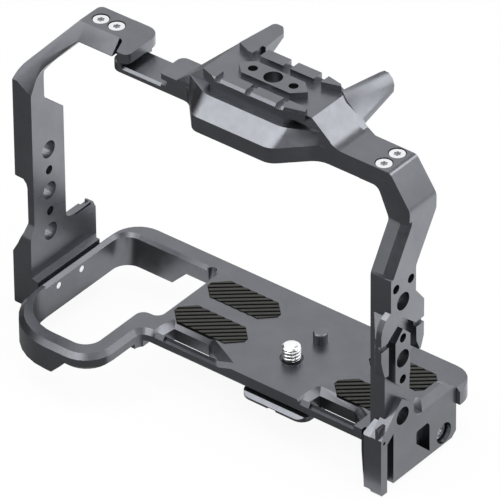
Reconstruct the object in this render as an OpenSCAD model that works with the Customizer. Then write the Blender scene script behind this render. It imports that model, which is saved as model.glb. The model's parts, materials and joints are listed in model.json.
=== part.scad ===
// Camera cage: a base plate with a battery-side loop, two side frames, a top bridge,
// quick-release plates at the bottom and at the right, and a captive camera screw.
// Millimetres. Origin on the camera screw axis at the top face of the base plate,
// +X to the right side plate, +Y to the back of the camera, +Z up.

/* [Base plate] */
// Plate thickness
base_t = 6.4; // [5:0.1:9]
// Left outer face of the loop
base_left = -90.3; // [-110:0.1:-86]
// Rear edge
base_back = 29; // [24:0.5:36]
// Front edge of the plate
base_front = -16.6; // [-20:0.1:-14]
// Front edge of the loop
loop_front = -42; // [-50:0.5:-34]
// Loop wall depth
loop_depth = 12.4; // [8:0.1:16]
// Loop wall thickness at the left
loop_wall = 3.1; // [2.5:0.1:5]
// Loop wall thickness at the back
loop_back_wall = 6.6; // [5:0.1:9]
// Right outer face of the loop's front lobe
lobe_right = -48.2; // [-54:0.1:-46]
// Wall of the lobe
lobe_wall = 6.2; // [5:0.1:8]
// Radius of the fork between the loop and the plate's front edge
fork_r = 3.5; // [2:0.1:4]
// Chamfer of the loop's outer rim
outer_chamfer = 1.7; // [1:0.1:2.2]
// Chamfer of the base's lower edge
low_chamfer = 2; // [1:0.1:2.4]
// Chamfer of the loop's inner rim
rim_chamfer = 1.2; // [0.5:0.1:2]
// Overhang of the rear right corner beyond the right frame
base_over = 1.4; // [0.6:0.1:2.4]

/* [Strap slots] */
// Rear wall of the slots
slot_wall_y = -8.4; // [-9:0.1:-7.8]
// Thickness of the bar before a slot
slot_bar = 2.3; // [1.6:0.1:2.6]
// Drop of the bar's front edge below the plate top
rail_drop = 1.6; // [1:0.1:3]
// Height of the bar
rail_h = 2.4; // [2:0.1:4]
// Chamfer of the slot's top rim
slot_chamfer = 2.1; // [1:0.1:2.2]
// Distance between the two slots
slot_pitch = 59.3; // [59:0.1:62]

/* [Camera screw] */
// Screw thread diameter
screw_d = 6.35; // [5:0.05:10]
// Height of the thread above the plate
screw_up = 5.2; // [4:0.1:7]
// Thread pitch
screw_pitch = 1.27; // [0.8:0.01:1.6]
// Diameter of the recess round the screw
recess_d = 7.7; // [7.5:0.1:9]
// Axial play of the captive screw
screw_travel = 1.6; // [0.8:0.1:2.2]
// Retaining clip thickness
clip_t = 0.8; // [0.5:0.1:1]
// Head diameter
screw_head_d = 12.6; // [11:0.1:14]
// Head height
screw_head_h = 2; // [1.6:0.1:3]
// Radial running clearance
run_gap = 0.05; // [0.02:0.01:0.1]

/* [Locating pin] */
// Pin place, sideways
pin_x = 1.7; // [-10:0.1:10]
// Pin place, to the back
pin_y = 12.8; // [9:0.1:18]
// Pin diameter
pin_d = 4.8; // [3:0.1:6]
// Pin height above the plate
pin_h = 3.8; // [2:0.1:6]

/* [Pads] */
// Length of a left pad
pad_l = 28.6; // [20:0.1:30]
// Left tip of the left pads
pad_left_x = -46; // [-46.2:0.1:-40]
// Left tip of the front right pad
pad_right_x = 19.3; // [12:0.1:22]
// Left tip of the rear right pad
pad_rear_x = 20; // [12:0.1:22]
// Length of the front right pad
pad_short_l = 23.2; // [18:0.1:23.4]
// Length of the rear right pad
pad_rear_l = 26.4; // [20:0.1:26.6]
// Pad width
pad_w = 11; // [8:0.5:12]
// Corner cut of a pad
pad_cut = 4.6; // [3:0.1:5.5]
// Pad height above the plate
pad_up = 0.3; // [0.2:0.1:0.6]
// Depth of the pad's recess
pad_in = 0.9; // [0.6:0.1:1.4]
// Rib pitch
rib_pitch = 2; // [1.4:0.1:3]
// Groove depth between ribs
rib_groove = 0.7; // [0.3:0.1:0.9]

/* [Quick-release plate at the bottom] */
// Centre of the plate, sideways
qr_x = 5.4; // [0:0.1:8]
// Centre of the plate, to the back
qr_y = 1.6; // [0:0.1:4]
// Length along X
qr_l = 26.6; // [24:0.1:40]
// Width over the dovetail
qr_w = 38; // [36:0.1:42]
// Depth below the base
qr_t = 1.9; // [1.5:0.1:4]
// Dovetail undercut
qr_cut = 1.4; // [0.8:0.1:2]
// Height of the upright rim
qr_rim = 0.8; // [0.4:0.1:1]

/* [Side frames] */
// Width of the right frame
frame_w = 8.1; // [7.8:0.1:8.4]
// Width of the ledge between the loop and the left frame
ledge_w = 2.6; // [1:0.1:4]
// Thickness of the left frame's front rib
left_t = 7.7; // [6:0.1:10]
// Web thickness at the hole row
web_t = 2.6; // [2.2:0.1:4]
// Thickness of the boss round the hole row
boss_t = 5; // [4:0.1:5.6]
// Front face of the left column
left_front = -15.8; // [-18:0.1:-14]
// Front face of the left foot
left_foot_front = -17.9; // [-20:0.1:-16]
// Rear edge of the left foot
left_foot_back = 15.1; // [12:0.1:18]
// Inner face of the right frame
right_in = 43.2; // [42:0.1:53]
// Front face of the right column
right_front = -14.8; // [-17:0.1:-13]
// Drop of the left neck below the bridge
left_neck = 16; // [14:0.5:20]
// Drop of the arm's bend at the right below the bridge
right_bend = 4.6; // [2:0.1:8]

/* [Mount holes] */
// Radius of the large threaded holes
big_r = 3.15; // [2.5:0.05:3.6]
// Radius of the small locating holes
small_r = 1.6; // [1:0.05:2]
// Line of the holes in the left frame
left_hole_y = -7.8; // [-9:0.1:-7]
// Pitch of the large holes at the left
left_hole_pitch = 16; // [14:0.5:20]
// Lowest large hole at the left
left_hole_z = 14; // [12:0.5:18]
// Line of the holes in the right frame
right_hole_y = -8.6; // [-9:0.1:-8]

/* [Top bridge] */
// Underside of the bridge
bridge_z = 86; // [80:0.5:104]
// Front plane of the bridge
bridge_front = -5.1; // [-7:0.1:-4]
// Thickness of the right shelf
shelf_t = 6.7; // [6:0.1:8]
// Rear edge of the right shelf
shelf_back = 8.5; // [7:0.1:10]
// Height of the top mount's floor above the bridge's underside
floor_rise = 14; // [13.5:0.1:16]
// Rise of the island and of the rear rail
island_h = 2.3; // [1.8:0.1:3]
// Centre line of the top mount
mount_x = -9.5; // [-14:0.1:-4]
// Half length of the top mount's floor
mount_half = 21.5; // [19:0.1:24]
// Line of the top mount's holes
mount_y = 3.6; // [3:0.1:4.2]
// Front edge of the top mount
mount_front = -8.1; // [-9:0.1:-7.6]
// Rear edge of the top mount
mount_back = 15; // [14.6:0.1:15.6]
// Front face of the prism cover
cover_front = -16.4; // [-20:0.1:-12]

/* [Accessory shoe] */
// Thickness of the shoe's floor
shoe_t = 2.3; // [1.8:0.1:2.6]
// Height of the channel
shoe_gap = 2.1; // [2:0.05:2.3]
// Width of the channel
shoe_w = 18.6; // [18.5:0.05:18.9]
// Opening between the lips
shoe_open = 12.4; // [12:0.1:13]
// Left wall of the channel
shoe_left = -64.1; // [-66:0.1:-63]
// Top of the right lip above the bridge's underside
lip_t = 6.5; // [6:0.1:7]
// Thickness of the left plateau
plateau_t = 5; // [4:0.1:7]
// Rear edge of the shoe
shoe_back = 6.7; // [6:0.1:8]

/* [Side dovetail plate] */
// Width of the side plate
side_w = 39.2; // [37:0.1:42]
// Centre of the side plate
side_y = -0.1; // [-2:0.1:2]
// Lower edge of the side plate
side_low = -18.6; // [-22:0.1:-18]
// Thickness of the side plate
side_t = 4.4; // [4:0.1:4.6]
// Apex height of the side plate
side_apex_z = 11.9; // [10:0.1:12.4]
// Web behind the window and below the screw head
side_web = 1; // [0.8:0.1:1.6]

/* [Hidden] */
seat = 0.03;
eps = 0.01;
$fn = 48;
left_in = base_left - ledge_w;
left_out = left_in - left_t;
frame_right = right_in + frame_w;
base_right = frame_right + base_over;
side_in = frame_right - side_t;
plate_right = side_in - 0.1;
shelf_z = bridge_z + shelf_t;
floor_z = bridge_z + floor_rise;
shoe_z = bridge_z + shoe_t;
lip_z = bridge_z + lip_t;
plateau_under = bridge_z + 3;
plateau_z = plateau_under + plateau_t;
left_neck_z = bridge_z - left_neck;
right_bend_z = bridge_z - right_bend;
// Shifts of the details that follow the two sides and the bridge
ls = left_in + 92.9;
rs = right_in - 43.2;
up = bridge_z - 86;
web_out = left_in - web_t;
right_out = frame_right;
island_z = floor_z + island_h;
shoe_right = shoe_left + shoe_w;
lip_side = (shoe_w - shoe_open) / 2;
rail_top = -rail_drop;
rail_low = rail_top - rail_h;
bar_back = base_front + slot_bar;
arm_rise = 1.16;
head_roof = -base_t + 1.9;
web_low = head_roof;
web_high = -(clip_t + screw_travel + 0.2);
bore_d = screw_d + 0.25 + 2 * run_gap;
shank_d = screw_d + 0.25;
neck_d = 5;
clip_d = recess_d - 0.4;
clip_low = -clip_t - 0.1;
qr_low = -base_t - qr_t;
side_front = side_y - side_w / 2;
side_back = side_y + side_w / 2;

function unit(v) = v / norm(v);
function corner(a, b, c, r, n) =
  r <= 0 ? [b] :
  let(
    u = unit(a - b),
    w = unit(c - b),
    half = acos(u * w) / 2,
    o = b + unit(u + w) * r / sin(half),
    s = b + u * r / tan(half) - o,
    e = b + w * r / tan(half) - o,
    a0 = atan2(s[1], s[0]),
    d = atan2(e[1], e[0]) - a0,
    sweep = d > 180 ? d - 360 : d < -180 ? d + 360 : d
  )
  [for (i = [0:n]) o + r * [cos(a0 + sweep * i / n), sin(a0 + sweep * i / n)]];
function flat(p) = [p[0], p[1]];
function rounded(p, n = 6) = [
  for (i = [0:len(p) - 1])
    each corner(flat(p[(i + len(p) - 1) % len(p)]), flat(p[i]), flat(p[(i + 1) % len(p)]), p[i][2], n)
];

// Prisms along the three axes; the points are Y-Z, X-Z and X-Y pairs.
module prism_x(x0, x1, pts) {
  translate([x0, 0, 0])
    rotate([90, 0, 90])
      linear_extrude(x1 - x0) polygon(pts);
}
module prism_y(y0, y1, pts) {
  translate([0, y1, 0])
    rotate([90, 0, 0])
      linear_extrude(y1 - y0) polygon(pts);
}
module prism_z(z0, z1, pts) {
  translate([0, 0, z0])
    linear_extrude(z1 - z0) polygon(pts);
}
module hull_of(pts) {
  hull()
    for (p = pts)
      translate(p) cube(0.01, center = true);
}
// Everything beyond the plane through p, on the side that n points to.
module beyond(p, n) {
  translate(p)
    rotate([0, acos(n[2] / norm(n)), atan2(n[1], n[0])])
      translate([-60, -60, 0]) cube([120, 120, 60]);
}
module bar_x(x0, x1, y, z, r) {
  translate([x0, y, z])
    rotate([0, 90, 0]) cylinder(h = x1 - x0, r = r);
}
module bar_z(x, y, z0, z1, r) {
  translate([x, y, z0])
    cylinder(h = z1 - z0, r = r);
}
// A flat screw with a star socket; the head's top is at the origin, the shank goes down.
module star_screw(head_d, head_h, shank_r, length) {
  difference() {
    union() {
      translate([0, 0, -head_h]) cylinder(h = head_h, r = head_d / 2);
      translate([0, 0, -length]) cylinder(h = length - head_h + eps, r = shank_r);
    }
    for (k = [0:2])
      rotate([0, 0, 60 * k])
        translate([-head_d * 0.23, -head_d * 0.07, -head_h * 0.6])
          cube([head_d * 0.46, head_d * 0.14, head_h]);
  }
}

// Outlines of the base
base_outline = rounded([
  [-56, base_back, 0],
  [base_right, base_back, min(8.5, (base_back - side_back) * 0.85)],
  [base_right, side_back + 0.1, 0],
  [plate_right, side_back + 0.1, 0],
  [plate_right, -1.8, 0],
  [right_in - seat, -1.8, 0],
  [right_in - seat, right_front - 0.07, 0],
  [41.17 + rs, right_front - 0.07, 0],
  [41.17 + rs, base_front, 0],
  [lobe_right, base_front, fork_r],
  [lobe_right, base_front - fork_r - 0.1, 0],
  [-56, base_front - fork_r - 0.1, 0]
]);
loop_in_left = base_left + loop_wall;
loop_in_back = base_back - loop_back_wall;
loop_in_right = -47.3;
lobe_in = lobe_right - lobe_wall;
loop_inner = rounded([
  [loop_in_left, loop_in_back, 6],
  [loop_in_right, loop_in_back, 1.5],
  [loop_in_right, -8.8, 3],
  [lobe_in, -8.8, 3.2],
  [lobe_in, loop_front + 6.1, 6],
  [loop_in_left, loop_front + 6.1, 18]
], 10);

module pad_outline(x0, x1, y, grow, z0, z1) {
  w = pad_w / 2 + grow;
  c = pad_cut;
  a = x0 - grow;
  b = x1 + grow;
  prism_z(z0, z1, [
    [a, y - w + c], [a + c, y - w], [b - c, y - w], [b, y - w + c],
    [b, y + w - c], [b - c, y + w], [a + c, y + w], [a, y + w - c]]);
}
module pad(x0, x1, y) {
  difference() {
    pad_outline(x0, x1, y, 0, -pad_in, pad_up);
    for (k = [-7:7])
      translate([(x0 + x1) / 2, y, 0])
        rotate([0, 0, 40])
          translate([-30, (k + 0.5) * rib_pitch - rib_pitch * 0.22, pad_up - rib_groove])
            cube([60, rib_pitch * 0.44, rib_groove + 1]);
  }
}
pad_fy = -1.5;
pad_ry = 15.6;

// A strap slot: bevelled rim, through opening and a thin bar with a low ridge before it.
module slot_cut(x) {
  c = slot_chamfer;
  w = slot_wall_y;
  hull() {
    prism_z(0, 0.02, [[x - 44.2, base_front - 1], [x - 44.2, -12], [x - 43.2, w + c - 0.8],
      [x - 42.4, w + c], [x - 27.4, w + c], [x - 16, -12.4], [x - 13, -13.4], [x - 11.2, base_front - 1]]);
    prism_z(-c, -c + 0.02, [[x - 42.2, base_front - 1], [x - 41.3, w], [x - 27.2, w],
      [x - 19.4, -13.6], [x - 17.6, base_front - 1]]);
  }
  prism_z(-base_t - 1, 0, [[x - 42, bar_back], [x - 41.3, w], [x - 27.2, w], [x - 19.6, -13.4],
    [x - 19.4, bar_back]]);
}
module slot_bar_body(x) {
  ridge = base_front + slot_bar / 2;
  prism_x(x - 43, x - 16.4, [[base_front, rail_low], [bar_back, rail_low],
    [bar_back, rail_top + 0.3], [base_front, rail_top]]);
  prism_x(x - 43, x - 19.2, [[ridge, rail_low], [bar_back, rail_low], [bar_back, -slot_bar / 2],
    [ridge, -eps]]);
  prism_x(x - 43, x - 39.5, [[base_front, rail_top], [ridge + eps, rail_low], [ridge + eps, -2 * eps]]);
}
module lobe_shell(depth) {
  a = outer_chamfer;
  b = low_chamfer;
  function ring(d) = rounded([[base_left + d, base_back, 12 - d], [-55, base_back, 0],
    [lobe_right - d, 10, 0], [lobe_right - d, loop_front + d, 11 - d],
    [base_left + d, loop_front + d, 22 - d]], 8);
  hull() {
    prism_z(-a, -a + 0.01, ring(0));
    prism_z(-0.01, 0, ring(a));
    prism_z(b - depth - 0.01, b - depth, ring(0));
    prism_z(-depth, 0.01 - depth, ring(b));
  }
}

// A funnel from radius r at the depth d to r + d at the plate's top.
module countersink(p, r, d, n) {
  translate([p[0], p[1], -d])
    linear_extrude(d + eps, scale = (r + d + eps) / r)
      polygon([for (i = [0:n - 1]) r * [cos(360 * i / n), sin(360 * i / n)]]);
}

module base_plate() color([0.22, 0.22, 0.23]) {
  difference() {
    union() {
      difference() {
        union() {
          lobe_shell(base_t);
          intersection() {
            lobe_shell(loop_depth);
            prism_y(loop_front - 1, base_back + 1, [[base_left - 1, 1], [-61.2, 1], [-61.2, -base_t],
              [-61.2 - (loop_depth - base_t), -loop_depth], [base_left - 1, -loop_depth]]);
          }
          prism_z(-base_t, 0, base_outline);
        }
        prism_z(-loop_depth - 1, 1, loop_inner);
        bar_z(-50.3, loop_in_back, -loop_depth - 1, 1, 1.6);
        // chamfers of the loop
        prism_x(loop_in_left + 6, -52.5, [[loop_in_back - eps, -rim_chamfer],
          [loop_in_back + rim_chamfer, 0.01], [loop_in_back + rim_chamfer, 1], [loop_in_back - eps, 1]]);
        prism_y(loop_front + 24.1, loop_in_back - 6, [[loop_in_left + eps, -rim_chamfer],
          [loop_in_left - rim_chamfer, 0.01], [loop_in_left - rim_chamfer, 1], [loop_in_left + eps, 1]]);
        countersink([loop_in_left + 6, loop_in_back - 6], 6, rim_chamfer, 40);
        countersink([lobe_right + fork_r, base_front - fork_r], fork_r, outer_chamfer, 24);
        slot_cut(0);
        intersection() {
          slot_cut(slot_pitch);
          translate([0, -30, -20]) cube([38, 40, 30]);
        }
      }
      slot_bar_body(0);
      intersection() {
        slot_bar_body(slot_pitch);
        translate([0, -30, -20]) cube([41.17 + rs, 40, 30]);
      }
    }
    // underside of the front edge
    prism_x(-47, right_in, [[base_front - 1, rail_low], [base_front, rail_low],
      [base_front + base_t + rail_low, -base_t - eps], [base_front - 1, -base_t - 1]]);
    // bevel of the right edge
    prism_y(side_back, base_back + 1, [[base_right - 1.4, 0.01], [base_right + 0.1, -1.5],
      [base_right + 1, 1], [base_right - 1.4, 1]]);
    // camera screw
    bar_z(0, 0, web_high, 1, recess_d / 2);
    bar_z(0, 0, -base_t - 1, 1, bore_d / 2);
    bar_z(0, 0, -base_t - 1, head_roof, screw_head_d / 2 + 0.4);
    // locating pin
    bar_z(pin_x, pin_y, -4, 1, pin_d / 2);
    // pads
    pad_outline(pad_left_x, pad_left_x + pad_l, pad_ry, 0.1, -pad_in, 1);
    pad_outline(pad_left_x, pad_left_x + pad_l, pad_fy, 0.1, -pad_in, 1);
    pad_outline(pad_rear_x, pad_rear_x + pad_rear_l, pad_ry, 0.1, -pad_in, 1);
    pad_outline(pad_right_x, pad_right_x + pad_short_l, pad_fy, 0.1, -pad_in, 1);
    // threads of the quick-release plate's screws
    for (dx = [-9, 9])
      for (dy = [-13, 13])
        bar_z(qr_x + dx, qr_y + dy, -base_t - 1, -2, 1.25);
    // screws and pins of the side frames
    for (y = [-11.1, 0.6])
      bar_x(base_left - 1, loop_in_left + 1, y, -3.4, 1.2);
    for (y = [-15.4, 6.2])
      bar_x(base_left - 1, base_left + 2, y, -7.5, 1);
    for (y = [-11.4, -5.2])
      bar_x(right_in - 4.4, right_in + 1, y, -4.2, 1.25);
    bar_x(right_in - 4, right_in + 1, -8.3, -4.2, 1);
    bar_x(plate_right - 8, plate_right + 1, 8, -3.4, 1.45);
  }
  // rib behind the side plate, holding the lower screw
  difference() {
    prism_x(plate_right - 4.4, plate_right, rounded([[1.5, -base_t + 0.5, 0], [18.8, -base_t + 0.5, 0],
      [18.8, side_low + 1.6, 3], [8, side_low + 1.6, 3]]));
    bar_x(plate_right - 5, plate_right + 1, 13.1, -14.3, 1.6);
  }
}

module camera_screw() color([0.75, 0.75, 0.77]) {
  difference() {
    union() {
      bar_z(0, 0, head_roof - screw_head_h - 0.05, head_roof - 0.05, screw_head_d / 2);
      bar_z(0, 0, head_roof - 0.1, clip_low - 0.02, shank_d / 2);
      bar_z(0, 0, clip_low - 0.1, 0, neck_d / 2);
      rotate_extrude($fn = 64)
        polygon([[0, 0 - eps], [neck_d / 2, 0 - eps], [screw_d / 2 - 0.55, 0.02],
          for (k = [0:3]) each [
            [screw_d / 2, 0.1 + (k + 0.3) * screw_pitch],
            [screw_d / 2, 0.1 + (k + 0.42) * screw_pitch],
            [screw_d / 2 - 0.6, 0.1 + (k + 0.86) * screw_pitch]],
          [screw_d / 2 - 0.6, screw_up - 0.1], [screw_d / 2 - 0.75, screw_up], [0, screw_up]]);
    }
    // hexagon socket and coin slot in the head
    translate([0, 0, head_roof - screw_head_h - 1])
      cylinder(h = 2.2, r = 2.9, $fn = 6);
    translate([-screw_head_d, -0.8, head_roof - screw_head_h - 1])
      cube([2 * screw_head_d, 1.6, 1.7]);
  }
}

module screw_clip() color([0.3, 0.3, 0.32]) {
  difference() {
    bar_z(0, 0, clip_low, clip_low + clip_t, clip_d / 2);
    bar_z(0, 0, clip_low - 1, 1, neck_d / 2 + run_gap);
  }
}

module locating_pin() color([0.2, 0.2, 0.21]) {
  bar_z(pin_x, pin_y, -3.9, pin_h - 0.4, pin_d / 2);
  translate([pin_x, pin_y, pin_h - 0.4])
    cylinder(h = 0.4, r1 = pin_d / 2, r2 = pin_d / 2 - 0.4);
}

module pad_rear_left() color([0.1, 0.1, 0.1]) { pad(pad_left_x, pad_left_x + pad_l, pad_ry); }
module pad_front_left() color([0.1, 0.1, 0.1]) { pad(pad_left_x, pad_left_x + pad_l, pad_fy); }
module pad_rear_right() color([0.1, 0.1, 0.1]) { pad(pad_rear_x, pad_rear_x + pad_rear_l, pad_ry); }
module pad_front_right() color([0.1, 0.1, 0.1]) { pad(pad_right_x, pad_right_x + pad_short_l, pad_fy); }

// Left frame: foot, column with the hole row, arm and plateau with the shoe's left lip.
left_side = rounded([
  [left_foot_front, -loop_depth, 1.5],
  [left_foot_front, 15.4, 4],
  [left_front, 20.4, 4],
  [left_front, left_neck_z, 0],
  [-9.2, left_neck_z, 0],
  [-9.2, left_neck_z - 3.4, 3],
  [0.1, left_neck_z - 11.2, 1],
  [0.1, 15, 2],
  [4, 14.2, 0],
  [13.6, 14.2, 1],
  [left_foot_back, 11, 1],
  [left_foot_back, -loop_depth, 2]
], 4);
module left_frame() color([0.24, 0.24, 0.25]) {
  difference() {
    union() {
      difference() {
        prism_x(left_out, left_in, left_side);
        // scoop in the outer face, full width
        prism_y(left_foot_front - 1, left_foot_back + 1, [[left_out - 1, 37.4], [left_out + 1.1, 37.1],
          [left_out + 3.5, 37], [web_out - 0.4, 35.6], [web_out, 34], [web_out, 20.4],
          [web_out - 0.9, 17], [left_out + 2.1, 12.3], [left_out, 8.6], [left_out - 1, 8.6]]);
        // recess behind the front rib
        translate([left_out - 1, left_front + 3.3, 36])
          cube([left_t - web_t + 1, 20, 22.5]);
        translate([left_out - 1, 0.6, 9])
          cube([left_t - web_t + 1, 20, 20]);
      }
      // boss round the hole row
      translate([left_in - boss_t, left_hole_y - 4.5, left_hole_z - 6])
        cube([boss_t, 9, 2 * left_hole_pitch + 11]);
      // foot below the ledge, against the loop
      translate([left_in - 1, left_foot_front, -loop_depth])
        cube([base_left - seat - left_in + 1, left_foot_back - left_foot_front - 1.5, loop_depth]);
      intersection() {
        prism_y(left_foot_front, left_foot_back, [[left_in - 1, 0.7], [left_in, 0.7],
          [base_left - seat, 0], [base_left - seat, -1], [left_in - 1, -1]]);
        prism_z(-2, 2, [[left_in - 2, left_foot_front], [base_left, left_foot_front],
          [base_left, left_foot_back - 3], [left_in, left_foot_back - 0.1],
          [left_in - 2, left_foot_back - 0.1]]);
      }
      // arm: a sloped bar with a broad front face and a bevel at its inner side
      difference() {
        intersection() {
          hull_of([[left_out, left_front, left_neck_z - 1], [left_in, left_front, left_neck_z - 1],
            [left_in, -9.2, left_neck_z - 1], [left_out, -9.2, left_neck_z - 1],
            [left_in, left_front, 74.5 + up], [left_in, -9.2, 76 + up], [left_out, -9.2, 77.5 + up],
            [left_out, left_front, 74.5 + up], [left_out, -13.6, 77 + up],
            [-86.2 + ls, 1, plateau_z], [-83.4 + ls, 1, plateau_z],
            [-86.2 + ls, 11.7, plateau_z], [-83.4 + ls, 11.7, plateau_z],
            [-83.4 + ls, -3.1, plateau_under + 0.2], [-83.4 + ls, -3.1, plateau_under],
            [-83.4 + ls, 11.7, plateau_under]]);
          prism_y(-20, 20, rounded([[left_out, 60, 0], [left_out, 77 + up, 10],
            [left_out + (plateau_z - 77 - up) / arm_rise, plateau_z, 1.5], [-80 + ls, plateau_z, 0],
            [-80 + ls, plateau_under, 0], [-83.4 + ls, plateau_under, 0],
            [left_in, plateau_under - 9.5 * arm_rise, 8], [left_in, 60, 0]], 7));
          prism_x(-110 + ls, -80 + ls, [[-20, 60], [-9.2, 60], [-9.2, 77.5 + up],
            [11.8, 88.6 + up], [11.8, 96 + up], [-20, 96 + up]]);
        }
        beyond([-100.1 + ls, -14.1, 77 + up], [-0.449, -0.449, 0.772]);
        intersection() {
          beyond([-98.7 + ls, -15.85, 74.45 + up], [0.311, -0.833, 0.457]);
          beyond([-93.1 + ls, -10, 81.3 + up], [0.282, -0.866, 0.413]);
        }
      }
      // plateau
      difference() {
        union() {
          prism_x(-86 + ls, -69.5, [[1, plateau_z], [-3.1, plateau_under + 0.2],
            [-3.1, plateau_under], [11.7, plateau_under], [11.7, plateau_z]]);
          prism_z(plateau_under, plateau_z, rounded([[-70.6, 1, 0], [-67.9, 0.8, 2.6], [-65.3, -5.8, 1],
            [-61, -5.8, 2.2], [-61, 11.8, 5], [-72, 11.8, 0], [-72, 1, 0]], 6));
        }
        translate([shoe_left, -20, 80 + up])
          cube([20, 40, shoe_z + shoe_gap - 80 - up]);
      }
    }
    // rounded rear corner of the plateau
    difference() {
      translate([-87 + ls, 9.7, plateau_under - 1]) cube([3, 3, 7]);
      bar_z(-84 + ls, 9.7, plateau_under - 2, plateau_z + 2, 2);
    }
    // hole row
    for (k = [0:2])
      bar_x(left_out - 1, left_in + 1, left_hole_y, left_hole_z + k * left_hole_pitch, big_r);
    for (k = [0:1])
      bar_x(left_out - 1, left_in + 1, left_hole_y, left_hole_z + (k + 0.5) * left_hole_pitch, small_r);
    // clamp groove in the tab's top edge
    translate([web_out - 1, 4.4, 13.3]) cube([web_t + 0.2, 8.2, 2]);
    prism_y(4.4, 12.6, [[left_in - 0.9, 13.3], [left_in + 0.1, 13.3], [left_in + 0.1, 14.3]]);
    // foot screws and pins
    for (y = [-11.1, 0.6]) {
      bar_x(left_out - 1, base_left + 1, y, -3.4, 1.35);
      bar_x(left_out - 1, left_out + 4, y, -3.4, 2.6);
    }
    for (y = [-15.4, 6.2])
      bar_x(base_left - 3.6, base_left + 1, y, -7.5, 1);
    // top screws
    for (x = [-81.2 + ls, -74.7 + ls]) {
      bar_z(x, 5.9, plateau_under - 1, plateau_z + 1, 1.6);
      bar_z(x, 5.9, plateau_z - 2, plateau_z + 1, 2.95);
    }
    bar_z(-67.2, 4, plateau_under - 1, plateau_under + 2.5, 1);
  }
}

// Right frame: column with the side mount, arm and tongue below the shelf.
right_side = rounded([
  [right_front, -base_t, 0],
  [right_front, 60.6 + up, 4],
  [-5.5, 76 + up, 4],
  [-5.3, right_bend_z, 0],
  [bridge_front, shelf_z + 1, 0],
  [shelf_back, shelf_z + 1, 0],
  [8.3, 76 + up, 3],
  [-2, 59.6 + up, 3],
  [-2, -base_t, 0]
], 4);
right_profile = rounded([
  [right_out, -base_t - 1, 0],
  [right_out, right_bend_z, 4],
  [43.4 + rs, shelf_z, 2.2],
  [42.2 + rs, shelf_z, 0],
  [42.2 + rs, 89.3 + up, 0],
  [31.4 + rs, 89.3 + up, 0],
  [31.4 + rs, bridge_z, 0],
  [38.6 + rs, bridge_z, 3],
  [right_in, bridge_z - 10, 4],
  [right_in, -base_t - 1, 0]
], 4);
module tapped(y, z, r) {
  bar_x(right_in - 1, right_out + 1, y, z, r);
}
module right_frame() color([0.24, 0.24, 0.25]) {
  difference() {
    union() {
      intersection() {
        prism_x(30, right_out + 1, right_side);
        prism_y(-30, 30, right_profile);
      }
      // front rail of the side mount
      difference() {
        prism_z(24.8, 48.2, [[right_in + 1.4, right_front], [right_out - 2.4, -19.7], [right_out, -19.7],
          [right_out, right_front + 1], [right_in + 1.4, right_front + 1]]);
        prism_x(right_in - 1, right_out - 2.1, [[right_front, 46.2], [-19.7, 40.6], [-21, 40.6], [-21, 50],
          [right_front, 50]]);
        prism_x(right_out - 2.3, right_out + 1, [[right_front, 48.3], [-17.4, 46.9], [-19.1, 44.5],
          [-19.8, 41.4], [-21, 41.4], [-21, 50], [right_front, 50]]);
        prism_x(right_in - 1, right_out + 1, [[-21, 32.4], [-19.75, 32.2], [-18.9, 28.6], [-17.9, 25.4],
          [-15.4, 24.7], [-21, 24.7]]);
      }
      // rear ear of the side mount
      prism_x(right_in, right_out, [[-2.2, 50.4], [2.3, 44.6], [2.2, 30.7], [0.7, 26.4], [-2.2, 26]]);
    }
    // outer faces set back round the island
    difference() {
      prism_x(right_out - 2.4, right_out + 1, [[-15.9, 25.2], [-15.9, 36.4], [-16.4, 37.9], [-14.6, 39.4],
        [right_hole_y, 43.4], [-1.8, 37.6], [-1.6, 30.4], [-0.2, 27.2], [-0.2, 25.2]]);
      prism_x(right_out - 3.3, right_out + 2, [[-12.4, 20], [-12.4, 35.2], [right_hole_y, 39], [-4.8, 35.2],
        [-4.8, 20], [right_hole_y, 16.2]]);
    }
    prism_x(right_out - 2.4, right_out + 1, [[-16, -7], [-16, 25.3], [-12.4, 25.3], [-12.4, 20],
      [right_hole_y, 16.2], [-4.8, 20], [-4.8, 25.3], [1, 25.3], [1, -7]]);
    // bevel between the front and the right of the arm
    hull_of([for (f = [[60.4 + up, -14.9], [75.8 + up, -5.6]]) each [[right_out - 3.5, f[1], f[0]],
      [right_out + 0.7, f[1], f[0]], [right_out + 0.7, f[1] + 1.5, f[0]], [right_out - 3.5, f[1] - 2, f[0]],
      [right_out + 0.7, f[1] - 2, f[0]]],
      [right_out - 4.5, bridge_front - 0.3, bridge_z + 2],
      [right_out - 4.5, bridge_front - 2, bridge_z + 2]]);
    // clearance for the side plate
    prism_x(side_in - seat, right_out + 1, [[-16, -7], [-16, 5.2], [right_hole_y - 0.4, side_apex_z + 0.1],
      [-1, 5.6], [-1, -7]]);
    // notches of the rails
    translate([right_out - 1.1, -20, 35.8]) cube([3, 4.4, 2]);
    translate([right_out - 1.1, -1.9, 35.8]) cube([3, 5, 2]);
    // holes
    tapped(-12.2, 56.1, small_r);
    tapped(-4.6, 56.1, small_r);
    tapped(right_hole_y, 49.6, big_r);
    tapped(right_hole_y, 27.6, big_r);
    tapped(right_hole_y, 35.5, small_r);
    tapped(right_hole_y, 19.6, small_r);
    tapped(right_hole_y, 5.2, big_r);
    // foot screws and pin
    for (y = [-11.4, -5.2]) {
      bar_x(right_in - 1, right_out, y, -4.2, 1.35);
      bar_x(right_in + 1.8, right_out, y, -4.2, 2.6);
    }
    bar_x(right_in - 1, right_in + 1.6, -8.3, -4.2, 1);
    // top screws and pin
    for (y = [-1.5, 5.3])
      bar_z(38.2 + rs, y, bridge_z - 1, bridge_z + 4, 1.25);
    bar_z(33.6 + rs, 1.9, bridge_z + 0.8, bridge_z + 4, 1);
  }
}

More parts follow.
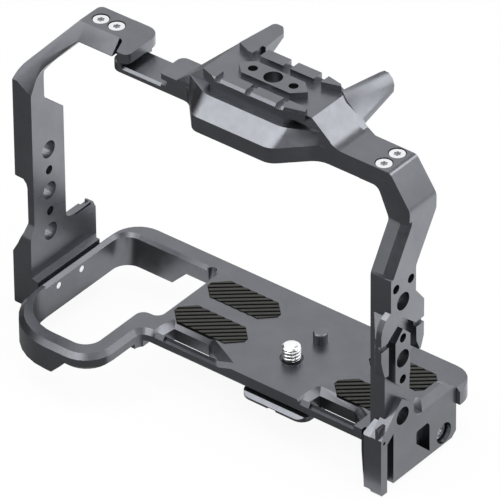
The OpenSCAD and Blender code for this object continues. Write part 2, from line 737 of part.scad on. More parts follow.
// Top bridge: shoe, prism cover, top mount, rear horns and right shelf.
cover_foot = rounded([[-40.6, bridge_front + 1, 0], [-40.6, bridge_front, 0], [-36.6, bridge_front, 5],
  [-26.4, cover_front, 5], [4.4, cover_front, 6.5], [15.8, bridge_front, 8], [21.5, bridge_front, 0],
  [21.5, bridge_front + 1, 0]], 8);
cover_crown = rounded([[-36.9, bridge_front + 1, 0], [-36.4, bridge_front - 0.2, 1], [-26.4, cover_front, 5],
  [4.4, cover_front, 6.5], [15.6, bridge_front - 0.2, 1], [16.2, bridge_front + 1, 0]], 8);
module hexagon(z0, z1, grow) {
  h = 9.7 + grow * 0.4;
  t = 13.8 + grow;
  w = 3.9 + grow;
  prism_z(z0, z1, [[mount_x - t, mount_y], [mount_x - h, mount_y - w], [mount_x + h, mount_y - w],
    [mount_x + t, mount_y], [mount_x + h, mount_y + w], [mount_x - h, mount_y + w]]);
}
module top_bridge() color([0.24, 0.24, 0.25]) {
  difference() {
    union() {
      // beam from the tongue to the shelf
      prism_z(bridge_z, shoe_z, rounded([[-69, bridge_front, 4], [-40, bridge_front, 0],
        [-40, shoe_back, 0], [-69, shoe_back, 0]], 5));
      prism_z(bridge_z, plateau_under - seat, rounded([[-69, bridge_front, 4], [shoe_left, bridge_front, 0],
        [shoe_left, shoe_back, 0], [-69, shoe_back, 0]], 5));
      translate([-83.3 + ls, 2.4, bridge_z])
        cube([19.1 - ls, 8.2, plateau_under - seat - bridge_z]);
      // right lip of the shoe
      difference() {
        prism_z(bridge_z, lip_z, rounded([[shoe_right - lip_side, bridge_front, 1.6],
          [-40, bridge_front, 0], [-40, shoe_back, 0], [shoe_right - lip_side, shoe_back, 2.6]], 5));
        translate([shoe_right - lip_side - 1, -20, shoe_z])
          cube([lip_side + 1, 40, shoe_gap]);
      }
      // hump below the top mount
      hull() {
        prism_z(bridge_z, shelf_z, [[-41.4, bridge_front], [22.2, bridge_front], [22.2, 11],
          [-40.6, shoe_back]]);
        prism_z(floor_z - 2, floor_z, [[mount_x - mount_half - 1, -3.4], [mount_x + mount_half, -4.2],
          [mount_x + mount_half, 13.6], [mount_x + mount_half - 3, mount_back],
          [mount_x - mount_half - 1, mount_back]]);
      }
      // front rail of the top mount
      prism_z(94 + up, island_z, [[mount_x - 17, -6.9], [mount_x - 13.7, mount_front],
        [mount_x + 13.1, mount_front], [mount_x + 15.5, -3.4], [mount_x - 17, -3.4]]);
      prism_z(floor_z - 1.4, island_z, [[mount_x - 20.5, -5.8], [mount_x - 13.7, mount_front],
        [mount_x + 13.1, mount_front], [mount_x + 20, -5.8], [mount_x + 19, -3.4], [mount_x - 20.5, -3.4]]);
      // prism cover: an upright band and a tapered crown
      prism_z(bridge_z, bridge_z + 5.7, cover_foot);
      translate([0, bridge_front + 1.1, bridge_z + 5.69])
        linear_extrude(4.75, scale = [1, 0.484], slices = 2)
          translate([0, -bridge_front - 1.1]) polygon(cover_crown);
      // island
      hexagon(floor_z - 1, island_z, 0);
      // rear rail and left horn
      prism_z(floor_z - 1, island_z, [[-29.9, 12.5], [-24.9, 10.4], [3.8, 10.6], [10.6, 12.6],
        [9.6, 13.6], [2.8, 14.9], [-21.4, 14.9], [-29.6, 14.9]]);
      intersection() {
        prism_z(90 + up, island_z, rounded([[-30, 12.5, 0], [-28, 28, 1.6], [-24.6, 28, 1.6],
          [-22.3, 25.3, 1], [-21.6, 12.6, 0]], 4));
        prism_x(-40, -10, [[10, 94 + up], [15.4, 96.4 + up], [25.5, 100.8 + up], [30, 101.4 + up],
          [30, 103 + up], [10, 103 + up]]);
      }
      // right horn: a rising arm, its top rolling over into the flank
      translate([0, 0, up])
        hull_of([[10.8, 12.6, 100.9], [12.6, 11.6, 100.1], [14.2, 11, 98.9], [15.6, 11, 97.5],
          [16.3, 11, 96.8], [20, 11, 94], [19.8, 11, 91.6], [11, 11, 91],
          [14.6, 26.8, 101.7], [15.6, 28, 102.1], [17, 28.4, 101.7], [18.9, 28, 100.5],
          [20.2, 27.2, 99.1], [20.9, 26, 98], [20.9, 26, 97.4], [19.8, 27.2, 97.6],
          [16.8, 28.2, 98.2], [14.5, 26.8, 98.4]]);
      // fillet at the foot of the flank
      prism_y(bridge_front, shelf_back, [[19.8, shelf_z - 1],
        for (a = [35.6, 30, 24, 18, 12, 6, 0]) [25.09 - 9 * sin(a), shelf_z + 9 - 9 * cos(a)],
        [25.09, shelf_z - 1]]);
      // right shelf
      difference() {
        prism_z(bridge_z, shelf_z, [[18, bridge_front], [42.2 + rs - seat, bridge_front],
          [42.2 + rs - seat, shelf_back], [27, shelf_back + 0.2], [22.6, 10.8], [18, 10.8]]);
        translate([31.4 + rs - seat, -20, bridge_z - 1]) cube([20, 40, 4.3 + seat]);
      }
    }
    // room for the camera's prism
    hull() {
      prism_z(bridge_z - 1, bridge_z, [[-29, -12], [9, -12], [11, -3], [11, 20], [-31, 20], [-31, -3]]);
      prism_z(94.4 + up, 94.5 + up, [[-25, -8.5], [4, -8.5], [5, 20], [-25, 20]]);
    }
    translate([-27, 8, bridge_z - 1]) cube([34, 20, 9.6]);
    // chamfer of the shoe's front edge
    prism_x(shoe_left + 0.5, -48, [[bridge_front - 1, shoe_z + 0.1], [bridge_front - 1, shoe_z - 0.8],
      [bridge_front, shoe_z - 0.8], [bridge_front + 0.9, shoe_z + 0.1]]);
    // chamfer of the mount's front rim
    prism_x(mount_x - 17, mount_x + 13.1, [[mount_front - 1, island_z + 0.1],
      [mount_front - 1, island_z - 0.9], [mount_front, island_z - 0.9], [mount_front + 0.9, island_z + 0.1]]);
    intersection() {
      prism_y(-12, 0, [[mount_x + 13, island_z + 0.1], [mount_x + 21, island_z + 0.1],
        [mount_x + 21, island_z - 0.9], [mount_x + 13, island_z - 0.9]]);
      prism_z(island_z - 1, island_z + 1, [[mount_x + 13, mount_front - 1], [mount_x + 13, mount_front + 0.7],
        [mount_x + 21, -5.2], [mount_x + 21, -8]]);
    }
    // notches of the rear rail and of the front rim
    for (dx = [-12.1, -0.1, 12]) {
      translate([mount_x + dx - 1.45, 10, floor_z]) cube([2.9, 5.4, island_h + 1]);
      translate([mount_x + dx - 2.2, mount_front - 0.5, island_z - 1.2]) cube([2.2, 6, 2]);
    }
    // mount holes
    bar_z(mount_x, mount_y, 90 + up, island_z + 1, big_r);
    for (dx = [-8.1, 8.1])
      bar_z(mount_x + dx, mount_y, 90 + up, island_z + 1, small_r);
    // screws and pins into the frames
    for (x = [-81.2 + ls, -74.7 + ls])
      bar_z(x, 5.9, bridge_z - 1, bridge_z + 4, 1.25);
    bar_z(-67.2, 4, bridge_z + 0.8, bridge_z + 4, 1);
    for (y = [-1.5, 5.3]) {
      bar_z(38.2 + rs, y, bridge_z + 3, shelf_z + 1, 1.6);
      bar_z(38.2 + rs, y, shelf_z - 2, shelf_z + 1, 2.95);
    }
    bar_z(33.6 + rs, 1.9, bridge_z + 3, shelf_z - 1, 1);
  }
}

module side_plate() color([0.25, 0.25, 0.26]) {
  difference() {
    union() {
      prism_x(side_in, right_out, [
        [side_front + 0.4, side_low - 1.7], [side_front, side_low - 0.9], [side_front, 1.4],
        [-9, side_apex_z], [-3.2, 7.2], [-2.4, 3.6], [-0.8, 1.2], [1.4, 0.8], [4, 3.3], [14.5, 3.3],
        [side_back, 0.6],
        [side_back, side_low + 1.8], [side_back - 2.2, side_low], [-13.3, side_low],
        [-16.5, side_low - 1.7]]);
      // dovetail wedge at the front edge, narrowing downwards
      difference() {
        prism_z(side_low - 0.6, 5.2, [[41.2 + rs, -16.8], [44.4 + rs, side_front], [50 + rs, side_front],
          [50 + rs, -15], [41.2 + rs, -15]]);
        prism_x(40 + rs, side_in + 2, [[-14.9, 5.2], [side_front, 1.2], [side_front - 1.3, 1.2],
          [side_front - 1.3, 6], [-14.9, 6]]);
        prism_y(side_front - 2, -13, [[40 + rs, -6.5], [41.2 + rs, -8], [side_in - 1.8, side_low - 3],
          [40 + rs, side_low - 3]]);
        prism_y(side_front - 2, -13, [[40 + rs, -3], [43.3 + rs, 0], [45.4 + rs, 6], [40 + rs, 6]]);
      }
    }
    // bevels of the outer face
    prism_y(-1.2, side_back + 1, [[right_out - 2.5, 3.4], [right_out + 1, -0.1], [right_out + 1, 3.4]]);
    // scoop beside the apex
    bar_x(side_in + 1.4, right_out + 1, -0.4, 4.2, 2.4);
    // long clamp slot
    prism_x(side_in + 1.3, right_out + 1, [[-16.5, side_low - 3], [-16.5, -1.6], [-13.3, 0.9],
      [-13.3, side_low - 3]]);
    // five-sided window
    prism_x(side_in + side_web, right_out + 1, [[-1.4, -10.1], [-1.4, -6], [-0.9, -5.4], [4.4, -5.2],
      [5.5, -6.6], [5.6, -17]]);
    // holes
    bar_x(side_in - 1, right_out + 1, right_hole_y, 5.2, big_r);
    bar_x(side_in - 1, right_out + 1, 13.1, -14.3, 2.1);
    bar_x(side_in + side_web, right_out + 1, 13.1, -14.3, 3.75);
    bar_x(side_in - 1, right_out + 1, -18.1, -0.2, 0.6);
    bar_x(side_in - 1, right_out - 1.5, 8, -3.4, 1.45);
    // room for the heads of the foot screws
    for (y = [-11.4, -5.2])
      bar_x(side_in - 1, side_in + 0.6, y, -4.2, 2.7);
  }
}

module bottom_plate() color([0.22, 0.22, 0.23]) {
  difference() {
    intersection() {
      prism_z(qr_low, -base_t - seat, rounded([[qr_x - qr_l / 2, qr_y - qr_w / 2, 4],
        [qr_x + qr_l / 2, qr_y - qr_w / 2, 4], [qr_x + qr_l / 2, qr_y + qr_w / 2, 4],
        [qr_x - qr_l / 2, qr_y + qr_w / 2, 4]], 5));
      prism_x(qr_x - qr_l, qr_x + qr_l, [[qr_y - qr_w / 2, qr_low - 1], [qr_y + qr_w / 2, qr_low - 1],
        [qr_y + qr_w / 2, qr_low + qr_rim], [qr_y + qr_w / 2 - qr_cut, -base_t],
        [qr_y - qr_w / 2 + qr_cut, -base_t], [qr_y - qr_w / 2, qr_low + qr_rim]]);
    }
    bar_z(0, 0, qr_low - 1, 0, screw_head_d / 2 + 0.6);
    for (dx = [-9, 9])
      for (dy = [-13, 13]) {
        bar_z(qr_x + dx, qr_y + dy, qr_low - 1, 0, 1.4);
        translate([qr_x + dx, qr_y + dy, qr_low - eps])
          cylinder(h = 1.25, r1 = 2.7, r2 = 1.4);
      }
    // stop notch in the front edge
    translate([qr_x - 1.6, qr_y - qr_w / 2 - 1, qr_low - 1]) cube([3.2, 2, 1.5]);
  }
}

module left_top_screws() color([0.8, 0.8, 0.82]) {
  for (x = [-81.2 + ls, -74.7 + ls])
    translate([x, 5.9, plateau_z - 0.3])
      star_screw(5.3, 1.6, 1.2, 7);
}
module right_top_screws() color([0.8, 0.8, 0.82]) {
  for (y = [-1.5, 5.3])
    translate([38.2 + rs, y, shelf_z - 0.3])
      star_screw(5.3, 1.6, 1.2, 6);
}
module left_foot_screws() color([0.8, 0.8, 0.82]) {
  for (y = [-11.1, 0.6])
    translate([left_out + 2.4, y, -3.4])
      rotate([0, -90, 0]) star_screw(5, 1.6, 1.15, 10.9);
}
module right_foot_screws() color([0.4, 0.4, 0.42]) {
  for (y = [-11.4, -5.2])
    translate([right_in + 3.4, y, -4.2])
      rotate([0, 90, 0]) star_screw(5, 1.55, 1.2, 7.6);
}
module side_plate_screw() color([0.8, 0.8, 0.82]) {
  translate([side_in + side_web + 1.45, 13.1, -14.3])
    rotate([0, 90, 0]) star_screw(5.6, 1.4, 1.55, 6.6);
}
module bottom_plate_screws() color([0.4, 0.4, 0.42]) {
  for (dx = [-9, 9])
    for (dy = [-13, 13])
      translate([qr_x + dx, qr_y + dy, qr_low])
        rotate([180, 0, 0])
          difference() {
            union() {
              translate([0, 0, -1.2]) cylinder(h = 1.2, r1 = 1.35, r2 = 2.6);
              translate([0, 0, -5.6]) cylinder(h = 4.6, r = 1.2);
            }
            translate([0, 0, -0.9]) cylinder(h = 2, r = 0.9, $fn = 6);
          }
}
module left_foot_pins() color([0.6, 0.6, 0.62]) {
  for (y = [-15.4, 6.2])
    bar_x(base_left - 3.5, base_left + 1.9, y, -7.5, 1);
}
module right_foot_pins() color([0.6, 0.6, 0.62]) {
  bar_x(right_in - 3.9, right_in + 1.5, -8.3, -4.2, 1);
  bar_x(plate_right - 7.9, right_out - 1.6, 8, -3.4, 1.45);
}
module bridge_pins() color([0.6, 0.6, 0.62]) {
  bar_z(-67.2, 4, bridge_z + 0.9, plateau_under + 2.4, 1);
  bar_z(33.6 + rs, 1.9, bridge_z + 0.9, shelf_z - 1.1, 1);
}

base_plate();
camera_screw();
screw_clip();
locating_pin();
pad_rear_left();
pad_front_left();
pad_rear_right();
pad_front_right();
left_frame();
top_bridge();
right_frame();
side_plate();
bottom_plate();
left_top_screws();
right_top_screws();
left_foot_screws();
right_foot_screws();
side_plate_screw();
bottom_plate_screws();
left_foot_pins();
right_foot_pins();
bridge_pins();
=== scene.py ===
import json
import math

import bmesh
import bpy
from mathutils import Matrix, Vector


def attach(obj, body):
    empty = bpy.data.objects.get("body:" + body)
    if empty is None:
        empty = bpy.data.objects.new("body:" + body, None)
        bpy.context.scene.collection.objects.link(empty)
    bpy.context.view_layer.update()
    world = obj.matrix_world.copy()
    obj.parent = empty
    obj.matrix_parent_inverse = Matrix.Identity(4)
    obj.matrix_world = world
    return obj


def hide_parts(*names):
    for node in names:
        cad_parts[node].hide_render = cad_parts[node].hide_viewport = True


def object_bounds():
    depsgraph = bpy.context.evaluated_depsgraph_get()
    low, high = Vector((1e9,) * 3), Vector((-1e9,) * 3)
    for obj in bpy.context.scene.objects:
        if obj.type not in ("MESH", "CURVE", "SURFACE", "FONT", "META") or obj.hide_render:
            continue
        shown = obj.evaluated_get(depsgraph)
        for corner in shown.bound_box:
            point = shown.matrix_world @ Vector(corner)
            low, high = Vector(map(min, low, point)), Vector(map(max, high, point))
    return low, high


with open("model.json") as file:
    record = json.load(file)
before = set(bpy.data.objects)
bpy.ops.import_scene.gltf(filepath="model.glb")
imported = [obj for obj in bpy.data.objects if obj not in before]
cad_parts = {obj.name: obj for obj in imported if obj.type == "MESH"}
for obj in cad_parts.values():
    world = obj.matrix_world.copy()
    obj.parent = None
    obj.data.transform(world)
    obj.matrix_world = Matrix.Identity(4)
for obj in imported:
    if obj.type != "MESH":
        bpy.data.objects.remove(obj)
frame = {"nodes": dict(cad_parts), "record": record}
cad_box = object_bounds()
nodes = frame["nodes"]
scene = bpy.context.scene
MM = 0.001


# Materials
NOISE_LOW, NOISE_HIGH = 0.3, 0.7        # nearly all noise lies between these

# Noises: scale, detail and roughness; a metal's grain has the scale of its own material
TONE_NOISE, TONE_STOPS = (90.0, 4.0, 0.55), (0.35, 0.68)
GLOSS_NOISE = (420.0, 5.0, 0.6)
GRAIN_DETAIL, GRAIN_ROUGHNESS, GRAIN_HEIGHT = 2.0, 0.6, 0.000004
RUBBER_TONE_NOISE, RUBBER_DARK, RUBBER_PALE = (700.0, 4.0, 0.6), 0.8, 1.25
RUBBER_GRAIN_NOISE, RUBBER_GRAIN_DEPTH, RUBBER_GRAIN_HEIGHT = (6000.0, 3.0, 0.6), 0.35, 0.00004
RUBBER_ROUGHNESS, RUBBER_SPECULAR = 0.7, 0.15

# The pads have shade painted black at the first height and below it, and have their own colour from the
# second up
GROOVE_Z, RIB_Z = -0.0001, 0.00022
GROOVE_SHADE_COLOR = (0.001, 0.001, 0.001, 1)


def new_material(name):
    m = bpy.data.materials.new(name)
    m.use_nodes = True
    t = m.node_tree
    return m, t, t.nodes["Principled BSDF"]


def add(t, kind, **values):
    """A new node; each value is one of its settings, or else the input of that name."""
    n = t.nodes.new(kind)
    for k, v in values.items():
        if hasattr(n, k):
            setattr(n, k, v)
        else:
            n.inputs[k.replace("_", " ")].default_value = v
    return n


def link(t, a, out, b, into):
    t.links.new(a.outputs[out], b.inputs[into])


def noise(t, place, scale, detail, roughness):
    """Noise that stays with the piece."""
    n = add(t, "ShaderNodeTexNoise", Scale=scale, Detail=detail, Roughness=roughness)
    link(t, place, "Object", n, "Vector")
    return n


def ramp(t, source, color, dark, pale, stops=(0.0, 1.0)):
    """Tones of one colour, from dark to pale times it."""
    n = add(t, "ShaderNodeValToRGB")
    for element, stop, factor in zip(n.color_ramp.elements, stops, (dark, pale)):
        element.position = stop
        element.color = [c * factor for c in color] + [1]
    link(t, source, "Fac", n, "Fac")
    return n


def relief(t, source, p, strength, distance):
    n = add(t, "ShaderNodeBump", Strength=strength, Distance=distance)
    link(t, source, "Fac", n, "Height")
    link(t, n, "Normal", p, "Normal")


def metal(name, color, low, high, grain, depth, spread=0.06):
    """A metal with a fine blasted grain, and patches of slightly different gloss and tone.

    low and high are the roughness at the two ends of the patches, grain and depth the scale and strength of
    the grain, and spread how far the tone varies either way.
    """
    m, t, p = new_material(name)
    place = add(t, "ShaderNodeTexCoord")
    tone = noise(t, place, *TONE_NOISE)
    link(t, ramp(t, tone, color, 1 - spread, 1 + spread, TONE_STOPS), "Color", p, "Base Color")
    gloss = noise(t, place, *GLOSS_NOISE)
    scale = add(t, "ShaderNodeMapRange", From_Min=NOISE_LOW, From_Max=NOISE_HIGH, To_Min=low, To_Max=high)
    link(t, gloss, "Fac", scale, "Value")
    link(t, scale, "Result", p, "Roughness")
    relief(t, noise(t, place, grain, GRAIN_DETAIL, GRAIN_ROUGHNESS), p, depth, GRAIN_HEIGHT)
    p.inputs["Metallic"].default_value = 1.0
    return m


def rubber(name, color):
    """Moulded rubber, with shade painted black between the ribs."""
    m, t, p = new_material(name)
    place = add(t, "ShaderNodeTexCoord")
    tones = ramp(t, noise(t, place, *RUBBER_TONE_NOISE), color, RUBBER_DARK, RUBBER_PALE)
    parts = add(t, "ShaderNodeSeparateXYZ")
    link(t, place, "Object", parts, "Vector")
    depth = add(t, "ShaderNodeMapRange", From_Min=GROOVE_Z, From_Max=RIB_Z)
    link(t, parts, "Z", depth, "Value")
    # this node has sockets for numbers and vectors too, so its colour sockets are taken by place
    mix = add(t, "ShaderNodeMix", data_type="RGBA")
    factor, first, second, result = mix.inputs[0], mix.inputs[6], mix.inputs[7], mix.outputs[2]
    # the shade in the grooves is painted in this black
    first.default_value = GROOVE_SHADE_COLOR
    t.links.new(depth.outputs["Result"], factor)
    t.links.new(tones.outputs["Color"], second)
    t.links.new(result, p.inputs["Base Color"])
    relief(t, noise(t, place, *RUBBER_GRAIN_NOISE), p, RUBBER_GRAIN_DEPTH, RUBBER_GRAIN_HEIGHT)
    p.inputs["Roughness"].default_value = RUBBER_ROUGHNESS
    p.inputs["Specular IOR Level"].default_value = RUBBER_SPECULAR
    return m


anodised = metal("anodised_aluminium", (0.167, 0.172, 0.188), 0.27, 0.35, 8000.0, 0.35)
bright = metal("bright_steel", (0.86, 0.87, 0.89), 0.12, 0.2, 6000.0, 0.15, 0.02)
chrome = metal("polished_screw", (0.95, 0.955, 0.965), 0.38, 0.14, 6000.0, 0.02, 0.02)
black = metal("black_steel", (0.09, 0.092, 0.098), 0.28, 0.36, 7000.0, 0.3)
# a dark grey that paints the shade in the screws' star sockets
shade = metal("socket_painted_shade", (0.2, 0.2, 0.21), 0.4, 0.5, 7000.0, 0.2)
pads = rubber("pad_rubber", (0.045, 0.045, 0.042))

SLOTS = {s["node"]: s["material_slot"] for s in frame["record"]["subparts"]}
LOOKS = {"anodised": anodised, "bright_steel": bright, "black_steel": black,
         "pin_steel": bright, "rubber": pads}
BODY = {n: b for b, ns in frame["record"]["behaviour"]["bodies"].items() for n in ns}
for name, ob in nodes.items():
    ob.data.materials.clear()
    ob.data.materials.append(LOOKS[SLOTS[name]])


# Machined pieces: the CAD form with small rounded edges
MERGE = 0.000004        # corners this close are one
FLAT_ANGLE = 1.2        # degrees: faces that differ by less are one
EDGE_ANGLE = 24.0       # degrees: sharper edges are rounded
EDGE_WIDTHS = {"base_plate": 0.34, "left_frame": 0.34, "top_bridge": 0.3, "right_frame": 0.34,
               "side_plate": 0.3, "bottom_plate": 0.25}
PIN_EDGE, PAD_EDGE = 0.2, 0.12
PADS = ("pad_rear_left", "pad_front_left", "pad_rear_right", "pad_front_right")


def link_object(name, mesh, material, body, slot, *replaced):
    ob = bpy.data.objects.new(name, mesh)
    scene.collection.objects.link(ob)
    mesh.materials.clear()
    mesh.materials.append(material)
    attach(ob, body)
    if replaced:
        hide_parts(*replaced)
    return ob


def plain_mesh(bm, name):
    """A mesh with only the corners and faces of bm, which is used up."""
    bm.verts.index_update()
    mesh = bpy.data.meshes.new(name)
    mesh.from_pydata([v.co[:] for v in bm.verts], [], [[v.index for v in f.verts] for f in bm.faces])
    bm.free()
    return mesh


def welded(name):
    """The CAD mesh joined up, with its flat faces whole again."""
    bm = bmesh.new()
    bm.from_mesh(nodes[name].data)
    bmesh.ops.remove_doubles(bm, verts=bm.verts, dist=MERGE)
    bmesh.ops.dissolve_degenerate(bm, edges=bm.edges, dist=MERGE)
    bmesh.ops.dissolve_limit(bm, angle_limit=math.radians(FLAT_ANGLE), verts=bm.verts, edges=bm.edges,
                             use_dissolve_boundaries=False, delimit=set())
    return plain_mesh(bm, name + "_machined")


def machined(name, width, segments=2, look=None):
    mesh = welded(name)
    mesh.shade_smooth()
    mesh.set_sharp_from_angle(angle=math.radians(EDGE_ANGLE))
    ob = link_object(name + "_machined", mesh, look or LOOKS[SLOTS[name]], BODY[name], SLOTS[name], name)
    edge = ob.modifiers.new("edge", "BEVEL")
    edge.width = width * MM
    edge.segments = segments
    edge.limit_method = "ANGLE"
    edge.angle_limit = math.radians(EDGE_ANGLE)
    edge.use_clamp_overlap = True
    edge.harden_normals = True
    edge.miter_outer = "MITER_ARC"


for name, width in EDGE_WIDTHS.items():
    machined(name, width)
machined("locating_pin", PIN_EDGE, look=anodised)
for name in PADS:
    machined(name, PAD_EDGE, segments=1)


# The camera screw, in millimetres: z is 0 at the plate's top face
THREAD_OUTER, THREAD_INNER, THREAD_PITCH, THREAD_TOP = 3.175, 2.78, 1.27, 5.2
THREAD_START = -0.02                    # a little below the face, inside the shank
KEPT_BELOW = -0.01                      # the CAD screw is kept below this height
THREAD_AROUND, THREAD_RINGS = 72, 104
TIP_RADIUS, TIP_SLOPE = 2.4, 1.5        # bevel at the tip
ROOT_RADIUS, ROOT_SLOPE = 2.5, 1.4      # run-out at the foot
SHARP_ANGLE = 38                        # degrees
PAINTED_SHADE_LOW, PAINTED_SHADE_HIGH = 0.3, THREAD_TOP - 0.75    # heights between which shade is painted on the flanks that face down
PAINTED_SHADE_FROM, PAINTED_SHADE_TO = 0.36, 0.88                 # these flanks' share of a turn


def thread_radius(z, turn):
    ridge = 0.5 + 0.5 * math.cos(2 * math.pi * ((z / THREAD_PITCH - turn) % 1.0))
    r = THREAD_INNER + (THREAD_OUTER - THREAD_INNER) * ridge
    return min(r, TIP_RADIUS + (THREAD_TOP - z) * TIP_SLOPE, ROOT_RADIUS + max(z, 0.0) * ROOT_SLOPE)


def thread_ring(bm, z):
    ring = []
    for i in range(THREAD_AROUND):
        turn = i / THREAD_AROUND
        r = thread_radius(z, turn)
        a = 2 * math.pi * turn
        ring.append(bm.verts.new((r * math.cos(a) * MM, r * math.sin(a) * MM, z * MM)))
    return ring


def painted_shade_flank(face):
    """Whether a face of the thread is on a flank that faces down, where shade is painted."""
    x, y, z = face.center / MM
    phase = (z / THREAD_PITCH - math.atan2(y, x) / (2 * math.pi)) % 1.0
    return PAINTED_SHADE_LOW < z < PAINTED_SHADE_HIGH and PAINTED_SHADE_FROM < phase < PAINTED_SHADE_TO


def camera_screw():
    """The captive screw: its CAD head and shank below a helical thread."""
    bm = bmesh.new()
    bm.from_mesh(nodes["camera_screw"].data)
    bmesh.ops.remove_doubles(bm, verts=bm.verts, dist=MERGE)
    upper = [f for f in bm.faces if f.calc_center_median().z > KEPT_BELOW * MM]
    bmesh.ops.delete(bm, geom=upper, context="FACES")
    rows = [thread_ring(bm, THREAD_START + (THREAD_TOP - THREAD_START) * k / THREAD_RINGS)
            for k in range(THREAD_RINGS + 1)]
    for low_row, high_row in zip(rows, rows[1:]):
        for i in range(THREAD_AROUND):
            j = (i + 1) % THREAD_AROUND
            bm.faces.new((low_row[i], low_row[j], high_row[j], high_row[i]))
    bm.faces.new(rows[-1])
    mesh = plain_mesh(bm, "camera_screw_thread")
    mesh.shade_smooth()
    mesh.set_sharp_from_angle(angle=math.radians(SHARP_ANGLE))
    link_object("camera_screw_thread", mesh, chrome, "screw", "bright_steel", "camera_screw")
    # the black steel paints shade on the thread's flanks that face down
    mesh.materials.append(black)
    for f in mesh.polygons:
        if painted_shade_flank(f):
            f.material_index = 1


camera_screw()


SOCKET_RADIUS, SOCKET_DEPTH, SOCKET_SIDES = 1.35 * MM, 0.4 * MM, 24


def socket_shade_discs(name, spots):
    """Dark discs that paint the shade in the star sockets; each spot is the middle of a head's top face, in
    millimetres.
    """
    bm = bmesh.new()
    for spot in spots:
        ring = []
        for k in range(SOCKET_SIDES):
            a = 2 * math.pi * k / SOCKET_SIDES
            around = Vector((SOCKET_RADIUS * math.cos(a), SOCKET_RADIUS * math.sin(a), -SOCKET_DEPTH))
            ring.append(bm.verts.new(around + Vector(spot) * MM))
        bm.faces.new(ring)
    mesh = bpy.data.meshes.new(name)
    bm.to_mesh(mesh)
    bm.free()
    link_object(name, mesh, shade, "cage", "bright_steel")


socket_shade_discs("left_top_socket_shade", [(-81.2, 5.9, 93.7), (-74.7, 5.9, 93.7)])
socket_shade_discs("right_top_socket_shade", [(38.2, -1.5, 92.4), (38.2, 5.3, 92.4)])


# Studio, in metres
FLOOR_GAP = 0.0003          # from the object's lowest point down to the floor
CARD_RISE, TOP_CARD_RISE = 0.0002, 0.0003   # cards laid on the floor, and those laid on them
FLOOR_HALF = 4
FLOOR_GREY = (0.75, 0.75, 0.75, 1)
FLOOR_SEEN = 0.93           # the rest of what is seen is the grey with its shadow
WORLD_FILL = 0.35
WHITE = (1, 1, 1, 1)


def flat_piece(name, half_x, half_y):
    """A rectangle that faces up, and its empty node tree."""
    mesh = bpy.data.meshes.new(name)
    x, y = half_x, half_y
    mesh.from_pydata([(-x, -y, 0), (x, -y, 0), (x, y, 0), (-x, y, 0)], [], [(0, 1, 2, 3)])
    ob = bpy.data.objects.new(name, mesh)
    scene.collection.objects.link(ob)
    m = bpy.data.materials.new(name)
    m.use_nodes = True
    m.node_tree.nodes.clear()
    mesh.materials.append(m)
    return ob, m.node_tree


def seen_rays(t):
    """1 for the rays that see the white surroundings: the camera's, and those in mirrors and glass."""
    ray = t.nodes.new("ShaderNodeLightPath")
    seen = ray.outputs["Is Camera Ray"]
    for kind in ("Is Glossy Ray", "Is Transmission Ray"):
        either = t.nodes.new("ShaderNodeMath")
        either.operation = "MAXIMUM"
        t.links.new(seen, either.inputs[0])
        t.links.new(ray.outputs[kind], either.inputs[1])
        seen = either.outputs[0]
    return seen


def mix_into(t, factor, first, second, out):
    """Mixes two shaders into the output node."""
    mix = t.nodes.new("ShaderNodeMixShader")
    t.links.new(factor, mix.inputs[0])
    t.links.new(first.outputs[0], mix.inputs[1])
    t.links.new(second.outputs[0], mix.inputs[2])
    t.links.new(mix.outputs[0], out.inputs[0])


def card(name, centre, size, turn=(0, 0, 0), strength=0.0):
    """A studio card that only reflections see."""
    ob, t = flat_piece(name, size[0] / 2, size[1] / 2)
    ob.location = centre
    ob.rotation_euler = [math.radians(a) for a in turn]
    out = t.nodes.new("ShaderNodeOutputMaterial")
    e = t.nodes.new("ShaderNodeEmission")
    e.inputs["Color"].default_value = WHITE
    e.inputs["Strength"].default_value = strength
    t.links.new(e.outputs[0], out.inputs[0])
    ob.visible_camera = False
    ob.visible_shadow = False
    ob.visible_diffuse = False


def softbox(name, centre, size, level):
    """A softbox that faces down, as bright in a mirror as level."""
    data = bpy.data.lights.new(name, "AREA")
    data.shape = "RECTANGLE"
    data.size, data.size_y = size
    data.energy = level * math.pi * size[0] * size[1]
    ob = bpy.data.objects.new(name, data)
    ob.location = centre
    scene.collection.objects.link(ob)


low = cad_box[0].z - FLOOR_GAP
floor, ft = flat_piece("floor", FLOOR_HALF, FLOOR_HALF)
floor.location.z = low
part = ft.nodes.new("ShaderNodeMath")
part.operation = "MULTIPLY"
part.inputs[1].default_value = FLOOR_SEEN
ft.links.new(seen_rays(ft), part.inputs[0])
grey = ft.nodes.new("ShaderNodeBsdfDiffuse")
grey.inputs["Color"].default_value = FLOOR_GREY
glow = ft.nodes.new("ShaderNodeEmission")
mix_into(ft, part.outputs[0], grey, glow, ft.nodes.new("ShaderNodeOutputMaterial"))

world = bpy.data.worlds.new("studio")
scene.world = world
world.use_nodes = True
wt = world.node_tree
wt.nodes.clear()
fill = wt.nodes.new("ShaderNodeBackground")
fill.inputs["Color"].default_value = WHITE
fill.inputs["Strength"].default_value = WORLD_FILL
white = wt.nodes.new("ShaderNodeBackground")
white.inputs["Color"].default_value = WHITE
mix_into(wt, seen_rays(wt), fill, white, wt.nodes.new("ShaderNodeOutputWorld"))

softbox("softbox_front", (0.1, -0.2, 0.6), (1.3, 0.75), 2.6)
softbox("softbox_back", (0.3, 0.5, 0.6), (0.45, 0.65), 2.6)

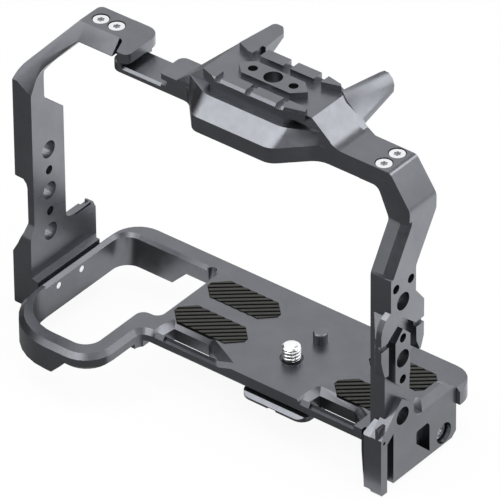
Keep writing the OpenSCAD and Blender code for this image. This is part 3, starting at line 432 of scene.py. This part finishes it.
# Flags and dims are darker than what is behind them, lights and fills brighter
laid, laid_on = low + CARD_RISE, low + TOP_CARD_RISE
card("flag_low", (0.125, -0.235, laid), (1.15, 0.42), strength=0.25)
card("flag_front", (0.09, -0.5, 0.2), (0.55, 0.5), (90, 0, 0), strength=0.15)
card("flag_loop", (-0.105, -0.006, laid), (0.05, 0.042), strength=0.1)
card("flag_slot", (-0.057, -0.014, laid_on), (0.024, 0.026), strength=0.05)
card("flag_slot_right", (0.012, -0.014, laid_on), (0.05, 0.026), strength=0.05)
card("dim_front", (-0.42, -0.06, 0.58), (0.24, 0.2), strength=1.7)
card("flag_left", (-0.32, 0.2, laid), (0.34, 0.5), strength=0.15)
card("flag_side", (-0.75, -0.12, 0.25), (0.56, 0.9), (0, 90, 0), strength=0.08)
card("flag_top", (-0.03, 0.5, 0.56), (0.26, 0.36), strength=0.12)
card("light_top", (-0.25, 0.5, 0.56), (0.12, 0.36), strength=1.2)
card("flag_far", (0.64, 0.71, 0.58), (0.15, 0.2), strength=0.1)
card("light_far", (1.15, 1.05, 0.6), (0.7, 0.6), strength=1.9)
card("flag_corner", (0.33, -0.2, 0.57), (0.5, 0.8), strength=0.5)
card("fill_right", (0.2, 0.3, laid), (0.6, 0.5), strength=1.5)


# Camera
AZIMUTH, ELEVATION, ROLL = 38.69, 35.23, -0.55      # degrees
EYE = (1.2592, -1.5930, 1.4763)
FOCAL_PX, FRAME_PX, SENSOR = 7857, 500, 36.0
CLIP_END = 20

az, el, roll = math.radians(AZIMUTH), math.radians(ELEVATION), math.radians(ROLL)
right = Vector((math.cos(az), math.sin(az), 0))
up = Vector((-math.sin(az) * math.sin(el), math.cos(az) * math.sin(el), math.cos(el)))
back = Vector((math.sin(az) * math.cos(el), -math.cos(az) * math.cos(el), math.sin(el)))
c, s = math.cos(roll), math.sin(roll)
right, up = right * c + up * s, up * c - right * s
camera = bpy.data.objects.new("camera", bpy.data.cameras.new("camera"))
scene.collection.objects.link(camera)
camera.data.sensor_width = SENSOR
camera.data.lens = FOCAL_PX / FRAME_PX * SENSOR
camera.data.clip_end = CLIP_END
camera.matrix_world = Matrix.Translation(EYE) @ Matrix((right, up, back)).transposed().to_4x4()
scene.camera = camera
scene.view_settings.view_transform = "Standard"
